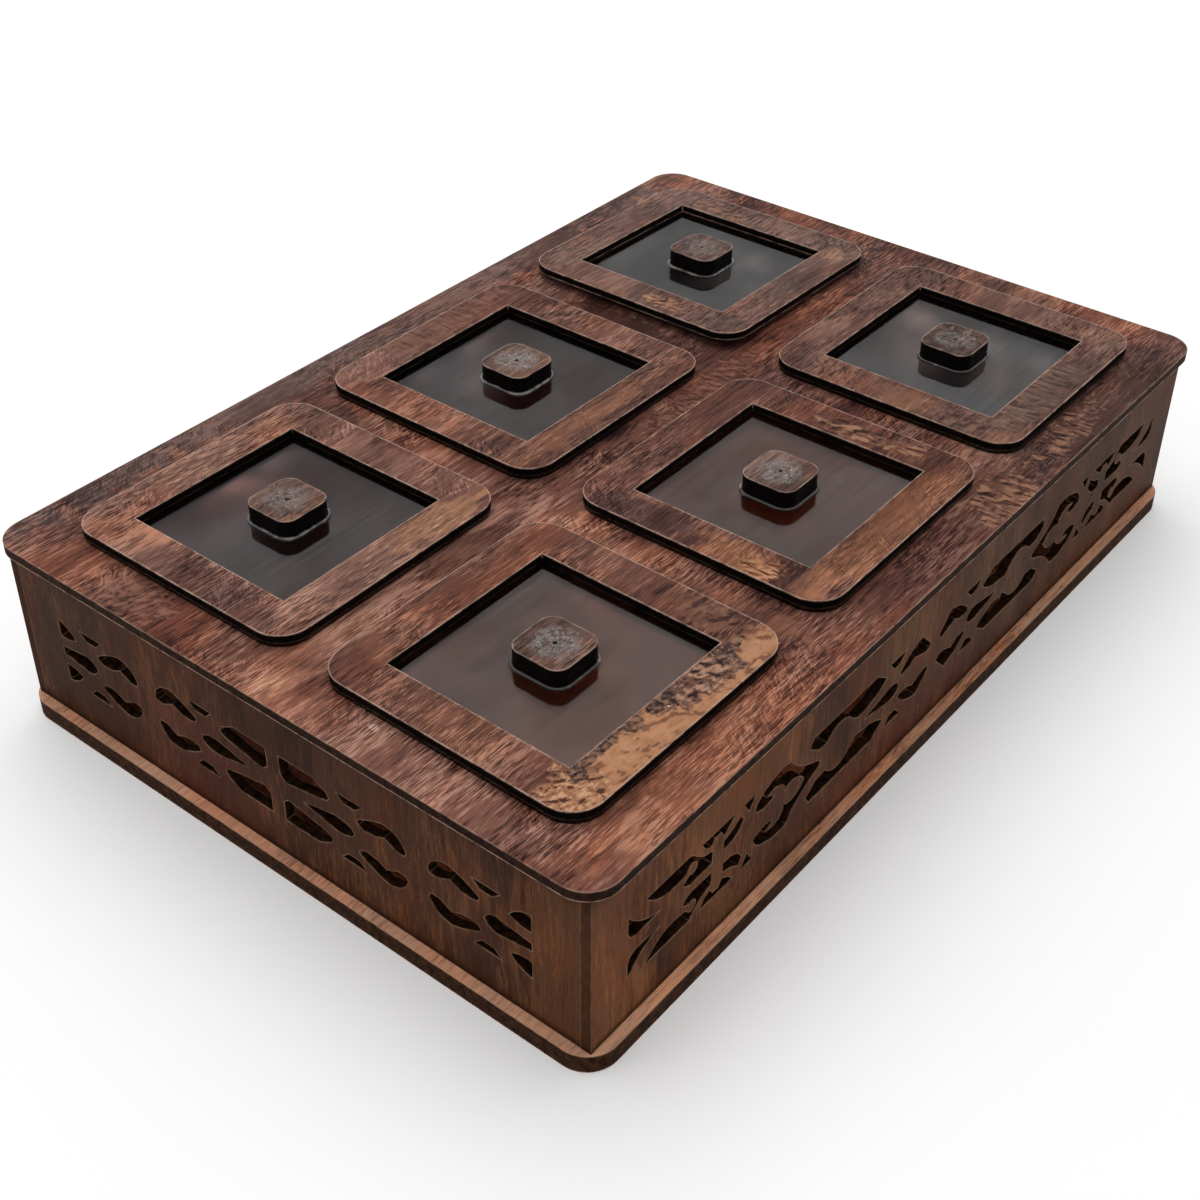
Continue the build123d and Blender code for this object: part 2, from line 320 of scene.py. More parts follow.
def addSpot(tree, place, mark, color, height, middle):
    mask = useGroup(tree, patch, Vector=place, Centre=mark["centre"], Ragged=mark["ragged"],
                    Pull=mark["pull"], **{"Half Size": mark["half"]})["Mask"]
    mask = product(tree, mask, mark["amount"])
    if "scale" not in mark:
        # partly a stain over the grain, partly a plain colour
        gain = [min(a / b, spotLook["mostGain"]) for a, b in zip(mark["color"][:3], middle[:3])]
        stained = tint(tree, 1.0, color, (*gain, 1.0), "MULTIPLY")
        stained = tint(tree, spotLook["plainShare"], stained, mark["color"])
        return tint(tree, mask, color, stained), height
    figure = useGroup(tree, crinkle, Vector=place, Stretch=mark["stretch"], Scale=mark["scale"],
                      Light=mark["light"], Middle=mark["color"], Dark=mark["dark"],
                      Cracks=mark["cracks"], Relief=mark["relief"])
    return tint(tree, mask, color, figure["Color"]), blend(tree, mask, height, figure["Height"])


def thinOut(tree, place, mask, ranges):
    # from start to end of each range the mask fades to this share of itself
    for axis, start, end, share in ranges:
        mask = product(tree, mask, fade(tree, reach(tree, place, axis), start, end, 1.0, share))
    return mask


def finishBoard(tree, shader, look, color, roughness, height, normal):
    bump = put(tree, "Bump", {"Height": height, "Normal": normal, "Strength": look["bump"],
                              "Distance": look["bumpDepth"]}).outputs[0]
    fill(tree, shader, {"Base Color": color, "Roughness": roughness, "Normal": bump,
                        "Specular IOR Level": look["specular"]})


def boardMaterial(name, look):
    # stained board: grain, patches, scorched cut edges, worn arrises and dust
    material, tree, shader, place = startMaterial(name)
    along = put(tree, "Mapping", {"Vector": place, "Location": look["shift"],
                                  "Rotation": look["turn"]}).outputs[0]
    grain = useGroup(tree, boardGrain, Vector=along, Light=look["light"], Middle=look["middle"],
                     Dark=look["dark"], Pores=look["pores"], Ripple=look["ripple"],
                     Bands=look["bands"], Fine=look["fine"])
    color, height = grain["Color"], grain["Height"]
    for mark in look["spots"]:
        color, height = addSpot(tree, place, mark, color, height, look["middle"])
    # painted shade in bands of height, where a board sits in shade
    for start, end, amount, shade in look.get("shadeBands", []):
        high = reach(tree, place, 2)
        color = tint(tree, fade(tree, high, start, end, amount, 0.0), color, shade)
    if "insideShade" in look:
        # the part of the base that is the floor of the compartments
        halfX, halfY, share, shade = look["insideShade"]
        inner = product(
            tree, fade(tree, reach(tree, place, 0), halfX, halfX + softBorder, share, 0.0),
            fade(tree, reach(tree, place, 1), halfY, halfY + softBorder, 1.0, 0.0))
        color = tint(tree, inner, color, shade)
    edge = useGroup(tree, cutEdge, Across=look["across"])["Mask"]
    edge = thinOut(tree, place, edge, look.get("edgeLess", []))
    char = fade(tree, cloud(tree, place, 480, 3, 0.6), 0.3, 0.75)
    color = tint(tree, edge, color, tint(tree, char, look["edgeDark"], look["edgeLight"]))
    arris = useGroup(tree, arrisWearAndHighlight, Vector=place, Width=look["arrisWidth"], Amount=look["arrisAmount"])
    # the arris line in its own colour: partly wear, partly a painted highlight, faded over the given
    # ranges
    color = tint(tree, thinOut(tree, place, arris["Mask"], look["wearAndHighlightLess"]), color, look["arrisWearAndHighlightColor"])
    specks = useGroup(tree, dustSpecks, Vector=place, Share=look["dust"])["Mask"]
    color = tint(tree, specks, color, dustColor)
    roughness = fade(tree, total(tree, grain["Sheen"], edge), 0.3, 1.2, *look["roughness"])
    finishBoard(tree, shader, look, color, roughness, height, arris["Normal"])
    return material


# top plate

alongGrain, acrossGrain = (0.3, 1, 1), (1, 0.3, 1)  # which way the ragged border of a patch is drawn out
darkBrown = stain(54, 35, 32)
coarseLumps = {"scale": 460, "stretch": (1, 0.5, 1), "light": stain(178, 132, 104),
               "dark": stain(36, 22, 20), "cracks": 0.08, "relief": 1.0}
topLook = {
    "light": stain(168, 125, 108), "middle": stain(111, 72, 61), "dark": stain(48, 30, 30),
    "pores": 0.7, "ripple": 1.0, "bands": 1.0, "fine": 1.0, "dust": 0.14,
    "across": (0, 0, 1), "shift": (0, 0, 0), "turn": (0, 0, 0),
    "edgeDark": stain(20, 9, 5), "edgeLight": stain(54, 30, 19),
    # the arris line is mostly a painted highlight: full on the lower arris, which the pale table lights,
    # half on the upper one
    "arrisWearAndHighlightColor": stain(200, 166, 144), "arrisAmount": 1.0, "arrisWidth": 0.0009,
    "wearAndHighlightLess": [(2, 0.0565, 0.058, 0.5)],
    "spots": [
        spot(95, -96, 62, 11, 0.75, stain(64, 45, 42), pull=alongGrain),
        spot(8, -98, 38, 9, 0.6, stain(78, 48, 40), pull=alongGrain),
        spot(0, 99, 150, 9, 0.8, stain(80, 62, 60), pull=acrossGrain),
        spot(-100, -97, 45, 9, 0.4, stain(152, 98, 76), pull=alongGrain),
        spot(-145, -38, 8, 62, 0.3, stain(156, 112, 96), pull=alongGrain),
        spot(-74, 0, 20, 6, 0.75, stain(60, 36, 32), pull=alongGrain),
        spot(-128, 0, 22, 6, 0.5, stain(156, 110, 92), pull=alongGrain),
        spot(-50, -66, 6, 26, 0.55, stain(146, 98, 80), pull=alongGrain),
        spot(-139.5, -28.5, 1.0, 2.2, 0.6, stain(196, 180, 172), 0.9),
        spot(-50, -22, 6, 14, 0.5, stain(160, 112, 92), pull=alongGrain),
        spot(-50, 72, 6, 13, 0.6, stain(70, 48, 44), pull=alongGrain),
        spot(124, 0, 17, 6, 0.65, stain(66, 44, 40), pull=alongGrain),
        spot(143, -44, 7, 15, 0.55, stain(76, 54, 48), pull=alongGrain),
        spot(47, 0, 9, 90, 0.5, stain(66, 42, 40)),
        spot(46, 45, 7, 22, 0.8, stain(58, 38, 35)),
        spot(-142, 52, 7, 12, 0.6, stain(124, 84, 70), 0.9, scale=520, stretch=(0.5, 1, 1),
             light=stain(172, 124, 102), dark=darkBrown, cracks=0.0, relief=0.8),
        spot(30, 0, 26, 6, 0.7, stain(92, 60, 49), 0.7, scale=520, stretch=(1, 0.6, 1),
             light=stain(150, 104, 84), dark=darkBrown, cracks=0.1, relief=0.9),
        spot(37, -97, 15, 8, 0.7, stain(112, 74, 60), 0.9, **coarseLumps),
        spot(80, -95, 20, 5, 0.6, stain(96, 66, 56), 0.9, **coarseLumps),
    ],
    "roughness": (0.36, 0.6), "specular": 0.03, "bump": 0.55, "bumpDepth": 0.0005,
}
cover(["top_plate"], boardMaterial("topWood", topLook))

# lids: one frame board each, cut from different places of the sheet

# on the frames the painted highlight of the arris line fades to 0.15 on the lower arris, which lies in
# shade on the top plate
frameLook = dict(topLook, light=stain(168, 122, 103), middle=stain(107, 71, 60),
                 dark=stain(50, 32, 31), edgeDark=stain(5, 3, 2), edgeLight=stain(18, 10, 8),
                 spots=[], bands=0.8, arrisWearAndHighlightColor=stain(206, 176, 158),
                 wearAndHighlightLess=[(2, 0.0613, 0.0611, 0.15)])
tornNotch = {"scale": 620, "stretch": (0.7, 1, 1), "light": stain(150, 114, 94),
             "dark": stain(34, 27, 30), "cracks": 0.0, "relief": 0.9}
notches = ((-122, -77, 5.5, 2.8), (-112, -76.4, 4, 2), (-103, -76.8, 5.5, 2.4), (-92, -77, 7, 2.8),
           (-69, -79, 4.5, 4.5))
frameMarks = {
    "front_left": {
        "shift": (0.13, 0.02, 0),
        "spots": [
            spot(-86, -12, 20, 6, 0.5, stain(86, 56, 48), 0.6, pull=alongGrain),
            spot(-112, -12, 12, 6, 0.2, stain(154, 110, 90), 0.6, pull=alongGrain),
            spot(-130, -50, 6, 14, 0.4, stain(150, 100, 78), 0.6, pull=alongGrain),
            spot(-100, -83.5, 52, 8.5, 1.0, stain(172, 122, 90), 0.25, scale=360, stretch=(0.5, 0.9, 1),
                 light=stain(192, 142, 108), dark=stain(88, 56, 44), cracks=0.03, relief=0.65),
            spot(-129, -80, 9, 7, 0.95, stain(156, 108, 80), 0.6, scale=460, stretch=(0.8, 1, 1),
                 light=stain(210, 164, 128), dark=stain(74, 47, 39), cracks=0.0, relief=1.0),
            spot(-79, -79.5, 17, 5.5, 0.95, stain(98, 69, 60), 0.6, scale=430, stretch=(0.7, 0.9, 1),
                 light=stain(186, 144, 120), dark=stain(36, 27, 30), cracks=0.12, relief=1.0),
            *[spot(*notch, 0.92, stain(72, 54, 50), 1.0, **tornNotch) for notch in notches],
            spot(-60, -66, 6, 9, 0.6, stain(112, 78, 64), 0.5, scale=360, stretch=(0.5, 1, 1),
                 light=stain(156, 114, 90), dark=stain(56, 38, 36), cracks=0.1, relief=0.9)],
    },
    "back_left": {
        "shift": (0.31, 0.11, 0), "light": stain(174, 132, 115), "middle": stain(113, 78, 68),
        "spots": [
            spot(-131, 40, 7, 28, 0.65, stain(78, 52, 48), pull=alongGrain),
            spot(-94, 12, 46, 6.5, 0.35, stain(156, 118, 102), 0.6, pull=alongGrain),
            spot(-59.5, 47, 6, 13, 0.6, stain(140, 100, 86), 0.6, pull=alongGrain),
            spot(-94, 82, 16, 6, 0.35, stain(156, 118, 100), 0.6, pull=alongGrain),
            spot(-59.5, 74, 6, 12, 0.5, stain(88, 62, 54), 0.6, pull=alongGrain),
            spot(-70, 12, 18, 5, 0.5, stain(166, 118, 88), 0.6, pull=alongGrain),
            spot(-68, 80, 7, 7, 0.25, stain(160, 112, 84), 0.6, pull=alongGrain)],
    },
    "front_middle": {
        "shift": (0.47, 0.05, 0.02), "light": stain(148, 106, 92), "middle": stain(95, 62, 53),
        "spots": [
            spot(0, -83, 44, 8, 0.6, stain(146, 96, 70), 0.5, pull=alongGrain),
            spot(-36, -30, 6, 20, 0.75, stain(64, 42, 42), 0.7, pull=(0.5, 1, 1)),
            spot(-35.5, -58, 6.5, 13, 0.6, stain(140, 90, 64), 0.6),
            spot(-38, -66, 5, 6, 0.85, stain(156, 104, 74), 0.6, scale=440, stretch=(1, 0.4, 1),
                 light=stain(206, 156, 120), dark=stain(58, 35, 28), cracks=0.3, relief=1.0),
            spot(35, -74, 7, 16, 0.6, stain(80, 51, 43), 0.6, pull=alongGrain),
            spot(-35, -81, 9, 6, 0.5, stain(160, 112, 84), 0.6, pull=alongGrain),
            spot(33.5, -51, 4, 12, 0.8, stain(96, 64, 52), 0.6, **dict(coarseLumps, scale=330)),
            spot(37, -67, 4, 5, 0.7, stain(112, 74, 60), 0.6, **dict(coarseLumps, scale=440))],
    },
    "back_middle": {
        "shift": (0.62, 0.17, 0), "light": stain(170, 126, 107), "middle": stain(110, 75, 64),
        "spots": [
            spot(0, 9, 40, 6, 0.5, stain(88, 60, 52), 0.6, pull=(0.25, 1, 1)),
            spot(-4, 14, 30, 4, 0.6, stain(150, 104, 80), 0.6, pull=(0.25, 1, 1)),
            spot(14, 17.5, 22, 1.6, 0.6, stain(56, 36, 32), 0.9, pull=(0.25, 1, 1)),
            spot(-27, 82, 15, 6, 0.7, stain(158, 118, 104), 0.6, pull=alongGrain),
            spot(8, 84, 30, 6, 0.5, stain(132, 94, 80), 0.6, scale=440, stretch=(1, 0.35, 1),
                 light=stain(156, 114, 96), dark=stain(84, 56, 48), cracks=0.0, relief=0.8)],
    },
    "back_right": {
        "shift": (0.81, 0.23, 0), "light": stain(140, 108, 96), "middle": stain(98, 74, 67),
        "wearAndHighlightLess": [],
        "spots": [
            spot(58.5, 36, 3, 8, 0.9, stain(140, 100, 82), 0.6, **coarseLumps),
            spot(127, 66, 5, 10, 0.6, stain(122, 90, 78), 0.7, **coarseLumps),
            spot(59, 14, 7, 7, 0.5, stain(66, 50, 49), 0.6),
            spot(129, 31, 6, 9, 0.5, stain(144, 110, 96), 0.6),
            spot(94, 14, 12, 5, 0.5, stain(84, 64, 62), 0.8, pull=acrossGrain),
            spot(123, 14, 5, 4, 0.6, stain(142, 106, 88), 0.7)],
    },
    "front_right": {
        "shift": (0.95, 0.29, 0), "light": stain(142, 106, 92), "middle": stain(102, 72, 63),
        "spots": [
            spot(59, -52, 5.5, 10, 0.5, stain(138, 100, 78), 0.5),
            spot(128, -82, 8, 7, 0.55, stain(146, 110, 95), 0.6, pull=alongGrain),
            spot(80, -12, 12, 5, 0.5, stain(146, 108, 92), 0.6, pull=alongGrain),
            spot(111, -12, 11, 5, 0.45, stain(138, 102, 88), 0.6, pull=alongGrain),
            spot(94, -87, 40, 4, 0.5, stain(78, 58, 52), 0.6, pull=alongGrain),
            spot(59, -72, 6, 12, 0.8, stain(88, 64, 57), 0.4, scale=440, stretch=(0.4, 1, 1),
                 light=stain(140, 106, 90), dark=stain(50, 36, 34), cracks=0.1, relief=0.9),
            spot(84, -82, 28, 6, 0.8, stain(92, 72, 64), 0.5, scale=440, stretch=(1, 0.3, 1),
                 light=stain(130, 104, 90), dark=stain(52, 38, 34), cracks=0.1, relief=0.8)],
    },
}
for lid, marks in frameMarks.items():
    cover([lid + "_frame"], boardMaterial(lid + "_frameWood", dict(frameLook, **marks)))

# walls: upright grain, with painted shade under the top plate and at the foot


def wallSpot(centre, half, amount, color):
    # a patch on an upright board, in millimetres
    return dict(centre=[value / 1000 for value in centre], half=[value / 1000 for value in half],
                amount=amount, color=color, ragged=0.6, pull=(2, 2, 0.3))


wallLook = {
    "light": stain(106, 70, 46), "middle": stain(77, 47, 32), "dark": stain(44, 26, 18),
    "pores": 0.3, "ripple": 0.1, "bands": 0.8, "fine": 0.6, "dust": 0.02,
    "shift": (0, 0, 0), "turn": (0, math.radians(90), 0),
    "edgeDark": stain(14, 7, 4), "edgeLight": stain(52, 31, 20),
    "arrisWearAndHighlightColor": stain(156, 126, 98), "arrisAmount": 0.9, "arrisWidth": 0.0007,
    "spots": [
        wallSpot((-147, -100, 30), (22, 22, 60), 0.45, stain(132, 86, 52)),
        wallSpot((-90, -100, 50), (30, 10, 16), 0.5, stain(120, 78, 48)),
        wallSpot((-20, -100, 12), (50, 10, 8), 0.4, stain(84, 44, 34)),
        wallSpot((50, -100, 30), (60, 10, 30), 0.3, stain(86, 66, 52)),
        wallSpot((-147, 30, 20), (10, 30, 20), 0.45, stain(88, 48, 36)),
        wallSpot((-147, -40, 30), (10, 30, 30), 0.3, stain(94, 62, 42)),
    ],
    # painted shade at the foot and under the overhang of the top plate
    "shadeBands": [(0.0057, 0.0085, 0.75, stain(26, 15, 11)), (0.0558, 0.049, 0.5, stain(34, 21, 15))],
    "roughness": (0.45, 0.65), "specular": 0.03, "bump": 0.35, "bumpDepth": 0.0005,
}
longWallLook = dict(wallLook, across=(0, 1, 0), edgeLess=[(0, 0.1466, 0.1469, 0.65)],
                    wearAndHighlightLess=[(0, 0.1455, 0.1464, 0.3)])
shortWallLook = dict(wallLook, across=(1, 0, 0), light=stain(92, 60, 40), middle=stain(62, 37, 25),
                     wearAndHighlightLess=[(1, 0.0955, 0.0964, 0.3)])
cover(["front_wall", "back_wall"], boardMaterial("longWallWood", longWallLook))
cover(["left_wall", "right_wall"], boardMaterial("shortWallWood", shortWallLook))

# base

baseLook = dict(
    topLook, light=stain(240, 188, 152), middle=stain(212, 160, 128), dark=stain(148, 104, 82),
    edgeDark=stain(34, 18, 10), edgeLight=stain(70, 44, 28), arrisWearAndHighlightColor=stain(190, 150, 120),
    arrisAmount=0.8, wearAndHighlightLess=[], pores=0.4, ripple=0.3, bands=0.6, fine=0.6, shift=(0.05, 0.4, 0),
    spots=[spot(-110, -102, 44, 3.2, 0.7, stain(246, 190, 156), 0.5, pull=alongGrain),
           spot(-149, 0, 3, 110, 0.5, stain(228, 176, 150), 0.5, pull=acrossGrain)],
    insideShade=(0.1445, 0.0975, 0.85, stain(96, 56, 40)))
cover(["base_plate"], boardMaterial("baseWood", baseLook))

# dividers and locating rings inside

innerLook = dict(topLook, light=stain(176, 112, 90), middle=stain(140, 84, 68), dark=stain(92, 52, 44),
                 edgeDark=stain(22, 14, 11), edgeLight=stain(48, 32, 24), spots=[], ripple=0.2,
                 arrisAmount=0.3, wearAndHighlightLess=[])
cover(["long_divider"], boardMaterial("longDividerWood", dict(innerLook, across=(0, 1, 0))))
crossLook = dict(innerLook, across=(1, 0, 0), turn=(0, 0, math.radians(90)),
                 light=stain(230, 176, 148), middle=stain(196, 140, 116))
cover(["cross_divider_left", "cross_divider_right"], boardMaterial("crossDividerWood", crossLook))
ringLook = dict(innerLook, shift=(0.2, 0.5, 0))
cover([lid + "_ring" for lid in frameMarks], boardMaterial("ringWood", ringLook))
print("boards finished")

# clear panes, lightly dusty and rubbed, with brighter cut edges

paneLook = {
    "haze": (0.8, 0.95), "ior": 1.06, "edgeCoat": 1.0, "coatRoughness": 0.04,
    "farWay": (0.63, 0.777, 0), "farReach": 0.035,  # from the photographer's side to the far side
    "coolShare": 0.4, "coolColor": stain(104, 112, 120),
    "smudges": (0.74, 1.04), "wipes": (0.84, 1.1),
    "dustScale": 120.0, "dustSize": 0.022, "dust": 0.2, "dustColor": stain(240, 235, 230),
}
# how strongly each pane mirrors the room at its near and far side, and the colour that it gives to
# what lies under it
paneTints = {
    "front_left": (1.0, 0.95, stain(236, 190, 170)), "back_left": (1.0, 0.54, stain(172, 128, 124)),
    "front_middle": (0.9, 0.86, stain(220, 172, 144)), "back_middle": (0.92, 0.5, stain(152, 118, 116)),
    "front_right": (0.9, 0.74, stain(150, 128, 124)), "back_right": (0.78, 0.82, stain(136, 130, 127)),
}


def middleOf(piece):
    low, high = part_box(piece)
    return (low + high) / 2


def paneMaterial(lid, look):
    nearCoat, farCoat, color = paneTints[lid]
    material, tree, shader, place = startMaterial(lid + "_clearSheet")
    rubbed = fade(tree, cloud(tree, stretched(tree, place, (0.3, 1, 1)), 120, 3, 0.6), 0.4, 0.7,
                  *look["haze"])
    cool = fade(tree, cloud(tree, place, 24, 2, 0.5), 0.42, 0.6, 0.0, look["coolShare"])
    color = tint(tree, cool, color, look["coolColor"])
    specks = useGroup(tree, dustSpecks, Vector=place, Scale=look["dustScale"], Size=look["dustSize"],
                      Share=look["dust"])["Mask"]
    color = tint(tree, specks, color, look["dustColor"])
    middle, farWay, farReach = middleOf(lid + "_pane"), look["farWay"], look["farReach"]
    centre = middle.x * farWay[0] + middle.y * farWay[1]
    mirrored = fade(tree, vectorCalc(tree, "DOT_PRODUCT", place, farWay, "Value"),
                    centre - farReach, centre + farReach, nearCoat, farCoat)
    smudged = fade(tree, cloud(tree, place, 26, 3, 0.6), 0.36, 0.62, *look["smudges"])
    wiped = cloud(tree, stretched(tree, place, (0.05, 1, 1)), 700, 3, 0.65)
    wiped = fade(tree, wiped, 0.3, 0.7, *look["wipes"])
    coat = calc(tree, "MULTIPLY", mirrored, product(tree, smudged, wiped), clamp=True)
    coat = blend(tree, useGroup(tree, cutEdge)["Mask"], coat, look["edgeCoat"])
    fill(tree, shader, {"Base Color": color, "Roughness": rubbed, "IOR": look["ior"],
                        "Coat Weight": coat, "Coat Roughness": look["coatRoughness"],
                        "Transmission Weight": 1.0})
    return material


for lid in paneTints:
    cover([lid + "_pane"], paneMaterial(lid, paneLook))
print("panes finished")

# knobs: board with black cut sides, and on top a dull patch of dried glue round a pin hole

knobLook = {
    "light": stain(136, 108, 96), "middle": stain(92, 70, 63), "dark": stain(46, 35, 34),
    "pores": 0.6, "ripple": 0.8, "edgeDark": stain(3, 2, 2), "edgeLight": stain(14, 8, 6),
    "arrisWearAndHighlightColor": stain(196, 172, 158), "arrisAmount": 0.9, "arrisWidth": 0.0008,
    "glue": stain(124, 117, 115), "glint": stain(232, 229, 226), "glueRadius": 0.0075,
    "glueBorder": 0.0034, "glueWaviness": 0.005, "glueRelief": 1.2,
    "pinRadius": 0.00055, "pinDepth": 3.0, "pinColor": stain(6, 4, 4),
    "roughness": (0.42, 0.3), "specular": 0.06, "bump": 0.45, "bumpDepth": 0.0004,
}
knobGlue = {"front_left": 0.85, "back_left": 0.75, "front_middle": 0.8, "back_middle": 1.0,
            "back_right": 0.6, "front_right": 0.8}
knobShade = {"back_left": 0.24, "back_right": 0.48, "front_right": 0.72}  # share of dark stain


def knobMaterial(lid, look):
    material, tree, shader, place = startMaterial(lid + "_knobWood")
    middle = middleOf(lid + "_knob")
    away = put(tree, "Mapping", {"Vector": place, "Location": (-middle.x, -middle.y, 0)}).outputs[0]
    away = vectorCalc(tree, "LENGTH", stretched(tree, away, (1, 1, 0)), result="Value")
    grain = useGroup(tree, boardGrain, Vector=place, Light=look["light"], Middle=look["middle"],
                     Dark=look["dark"], Pores=look["pores"], Ripple=look["ripple"])
    uneven = calc(tree, "SUBTRACT", cloud(tree, place, 420, 3, 0.6), 0.5)
    glueAway = total(tree, away, product(tree, uneven, look["glueWaviness"]))
    glue = fade(tree, glueAway, look["glueRadius"] - look["glueBorder"], look["glueRadius"], 1.0, 0.0)
    scraped = fade(tree, cloud(tree, place, 800, 3, 0.7), 0.4, 0.58, 0.1, 1.0)
    glue = product(tree, glue, scraped, knobGlue[lid])
    # glints: small painted highlights in the glue
    glints = fade(tree, cloud(tree, place, 2600, 2, 0.6), 0.6, 0.68)
    color = tint(tree, glue, grain["Color"], tint(tree, glints, look["glue"], look["glint"]))
    if lid in knobShade:
        color = tint(tree, fade(tree, uneven, -0.2, 0.15, 0.0, knobShade[lid]), color, look["dark"])
    # the pin hole is a dark dot of painted shade, sunk a little by the bump
    pin = fade(tree, away, look["pinRadius"], look["pinRadius"] * 1.4, 1.0, 0.0)
    color = tint(tree, pin, color, look["pinColor"])
    edge = useGroup(tree, cutEdge)["Mask"]
    char = fade(tree, cloud(tree, place, 700, 2, 0.6), 0.35, 0.7)
    color = tint(tree, edge, color, tint(tree, char, look["edgeDark"], look["edgeLight"]))
    # arris line on the knob: partly wear, partly a painted highlight
    arris = useGroup(tree, arrisWearAndHighlight, Vector=place, Width=look["arrisWidth"], Amount=look["arrisAmount"])
    color = tint(tree, arris["Mask"], color, look["arrisWearAndHighlightColor"])
    roughness = fade(tree, glue, 0.0, 1.0, *look["roughness"])
    height = total(tree, grain["Height"], product(tree, glue, look["glueRelief"]))
    height = calc(tree, "SUBTRACT", height, product(tree, pin, look["pinDepth"]))
    finishBoard(tree, shader, look, color, roughness, height, arris["Normal"])
    return material


for lid in knobGlue:
    cover([lid + "_knob"], knobMaterial(lid, knobLook))
print("knobs finished")

# bead of clear glue round the foot of each knob

beadLook = {
    "radius": 0.0006, "standOff": 0.55, "lift": 0.00005, "corner": 0.004, "cornerSteps": 6,
    "around": 10, "longestEdge": 0.003, "cuts": 5,
    "paintedShadeGlue": stain(60, 52, 50), "clear": stain(236, 232, 228), "roughness": (0.04, 0.16),
    "ior": 1.5, "transmission": 0.85, "bump": 0.4, "bumpDepth": 0.0003,
}
weldDistance = 1e-6


def beadMaterial(name, start, coat, look):
    # start is where the clear lumps begin: a larger one leaves fewer of them
    material, tree, shader, place = startMaterial(name)
    lumps = cloud(tree, place, 900, 2, 0.5)
    broken = fade(tree, cloud(tree, place, 260, 2, 0.6), start, start + 0.16)
    bump = put(tree, "Bump", {"Height": lumps, "Strength": look["bump"], "Distance": look["bumpDepth"]})
    # the glue's colour mixes clear lumps with dark lumps of painted shade
    fill(tree, shader, {"Base Color": tint(tree, broken, look["paintedShadeGlue"], look["clear"]),
                        "Roughness": fade(tree, lumps, 0.3, 0.7, *look["roughness"]),
                        "Normal": bump.outputs[0], "IOR": look["ior"], "Coat Weight": coat,
                        "Transmission Weight": look["transmission"]})
    return material


def makeBead(lid, look, material):
    low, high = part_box(lid + "_knob")
    centre = (low + high) / 2
    corner, radius = look["corner"], look["radius"]
    halfX, halfY = (high.x - low.x) / 2 - corner, (high.y - low.y) / 2 - corner
    bm = bmesh.new()
    # a ring of the bead stands at the middle of the +X side, and is swept once round the knob
    start = Matrix.Translation((halfX + corner + radius * look["standOff"], 0, 0))
    start @= Matrix.Rotation(math.radians(90), 4, "X")
    bmesh.ops.create_circle(bm, segments=look["around"], radius=radius, matrix=start)
    edges = bm.edges[:]
    runs = [(Vector((0, halfY, 0)), (halfX, halfY)), (Vector((-2 * halfX, 0, 0)), (-halfX, halfY)),
            (Vector((0, -2 * halfY, 0)), (-halfX, -halfY)), (Vector((2 * halfX, 0, 0)), (halfX, -halfY)),
            (Vector((0, halfY, 0)), None)]
    for run, turnCentre in runs:
        made = bmesh.ops.extrude_edge_only(bm, edges=edges)["geom"]
        verts = [item for item in made if isinstance(item, bmesh.types.BMVert)]
        edges = [item for item in made if isinstance(item, bmesh.types.BMEdge)
                 and all(vert in verts for vert in item.verts)]
        bmesh.ops.translate(bm, verts=verts, vec=run)
        if turnCentre:
            turned = bmesh.ops.spin(bm, geom=edges, cent=(*turnCentre, 0), axis=(0, 0, 1),
                                    angle=math.radians(90), steps=look["cornerSteps"])["geom_last"]
            edges = [item for item in turned if isinstance(item, bmesh.types.BMEdge)]
    bmesh.ops.remove_doubles(bm, verts=bm.verts, dist=weldDistance)
    longEdges = [edge for edge in bm.edges if edge.calc_length() > look["longestEdge"]]
    bmesh.ops.subdivide_edges(bm, edges=longEdges, cuts=look["cuts"])
    bmesh.ops.recalc_face_normals(bm, faces=bm.faces)
    bmesh.ops.translate(bm, verts=bm.verts, vec=(centre.x, centre.y, low.z + look["lift"]))
    mesh = bpy.data.meshes.new(lid + "_glue_bead")
    bm.to_mesh(mesh)
    bm.free()
    mesh.shade_smooth()
    mesh.materials.append(material)
    bead = bpy.data.objects.new(lid + "_glue_bead", mesh)
    bpy.context.scene.collection.objects.link(bead)
    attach(bead, lid + "_lid")


# the same glue twice: a lit copy with more clear lumps and coat for the back row, a shaded copy with
# more painted shade for the front row
backRowLitGlue = beadMaterial("backRowLitGlue", 0.44, 0.8, beadLook)
dullGlue = beadMaterial("dullGlue", 0.56, 0.3, beadLook)
for lid in knobGlue:
    makeBead(lid, beadLook, dullGlue if lid.startswith("front") else backRowLitGlue)
print("glue beads laid")

# floor, lights and camera

stageLook = {
    "floorColor": stain(246, 246, 246), "floorLight": stain(250, 250, 250), "floorHalf": 3.0,
    "floorDrop": 0.0002, "floorGlow": (0.16, 0.16, 0.16, 1), "ambient": 0.62, "aim": (0, 0, 0.03),
    "lamps": [
        {"name": "overheadPanel", "place": (0.25, 0.35, 1.3), "size": 1.3, "power": 8.0},
        {"name": "windowPanel", "place": (-1.2, 0.7, 0.9), "size": 0.9, "power": 1.5},
    ],
}


def seenRays(tree):
    # rays from the camera, also by way of gloss and glass, which see a white studio
    rays = put(tree, "LightPath").outputs
    mirrored = calc(tree, "MAXIMUM", rays["Is Glossy Ray"], rays["Is Transmission Ray"])
    return calc(tree, "MAXIMUM", rays["Is Camera Ray"], mirrored)


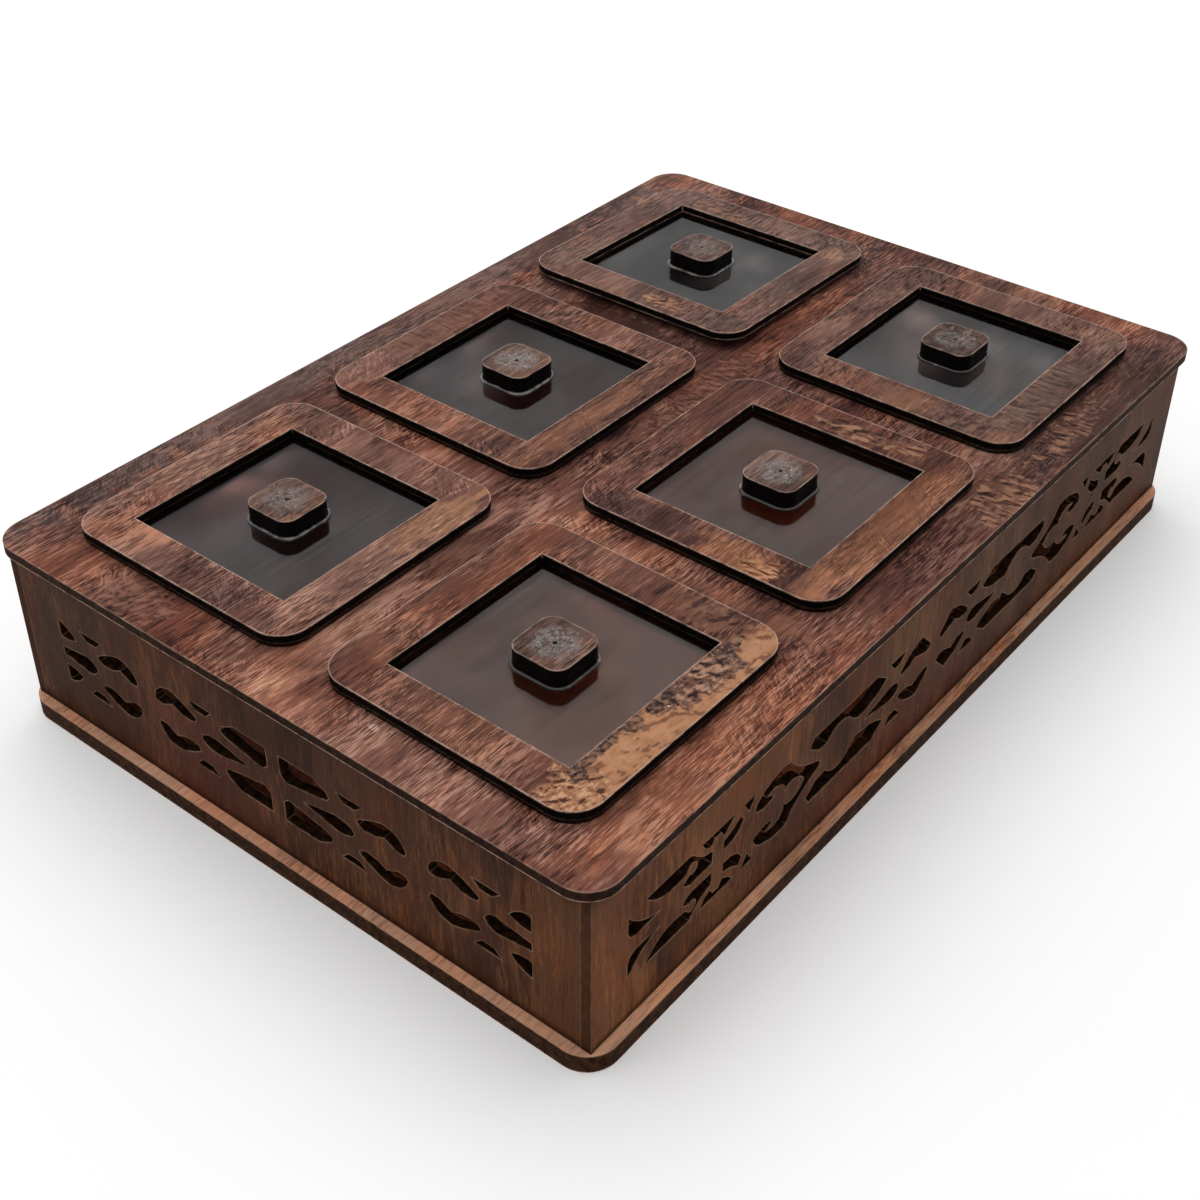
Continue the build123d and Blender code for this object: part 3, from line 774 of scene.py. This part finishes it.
bm = bmesh.new()
bmesh.ops.create_grid(bm, x_segments=1, y_segments=1, size=stageLook["floorHalf"])
floorMesh = bpy.data.meshes.new("floor")
bm.to_mesh(floorMesh)
bm.free()
floor = bpy.data.objects.new("floor", floorMesh)
bpy.context.scene.collection.objects.link(floor)
floor.location.z = -stageLook["floorDrop"]
floorMaterial, tree, shader, place = startMaterial("paleFloor")
floorColor = tint(tree, cloud(tree, place, 3, 2, 0.5), stageLook["floorColor"], stageLook["floorLight"])
glow = tint(tree, seenRays(tree), (0, 0, 0, 1), stageLook["floorGlow"])
fill(tree, shader, {"Base Color": floorColor, "Roughness": 0.9, "Specular IOR Level": 0.1,
                    "Emission Color": glow, "Emission Strength": 1.0})
floorMesh.materials.append(floorMaterial)

world = bpy.data.worlds.new("studio")
world.use_nodes = True
bpy.context.scene.world = world
tree = world.node_tree
strength = fade(tree, seenRays(tree), 0.0, 1.0, stageLook["ambient"], 1.0)
fill(tree, tree.nodes["Background"], {"Color": (1, 1, 1, 1), "Strength": strength})

for lamp in stageLook["lamps"]:
    data = bpy.data.lights.new(lamp["name"], "AREA")
    data.shape, data.size, data.energy = "SQUARE", lamp["size"], lamp["power"]
    light = bpy.data.objects.new(lamp["name"], data)
    bpy.context.scene.collection.objects.link(light)
    light.location = lamp["place"]
    light.visible_glossy = False
    way = Vector(stageLook["aim"]) - Vector(lamp["place"])
    light.rotation_euler = way.to_track_quat("-Z", "Y").to_euler()

cameraLook = {"place": (-0.34868, -0.26234, 0.33692), "azimuth": -50.976, "elevation": 35.913,
              "lens": 53.678, "shift": (0.0107, -0.0508)}
cameraData = bpy.data.cameras.new("photoView")
cameraData.sensor_width = 36
cameraData.lens = cameraLook["lens"]
cameraData.shift_x, cameraData.shift_y = cameraLook["shift"]
cameraData.clip_start = 0.01
camera = bpy.data.objects.new("photoView", cameraData)
bpy.context.scene.collection.objects.link(camera)
azimuth, elevation = math.radians(cameraLook["azimuth"]), math.radians(cameraLook["elevation"])
back = Vector((math.sin(azimuth) * math.cos(elevation), -math.cos(azimuth) * math.cos(elevation),
               math.sin(elevation)))
camera.location = cameraLook["place"]
camera.rotation_euler = (-back).to_track_quat("-Z", "Y").to_euler()
bpy.context.scene.camera = camera
bpy.context.scene.view_settings.view_transform = "Standard"
print("floor, lights and camera set")
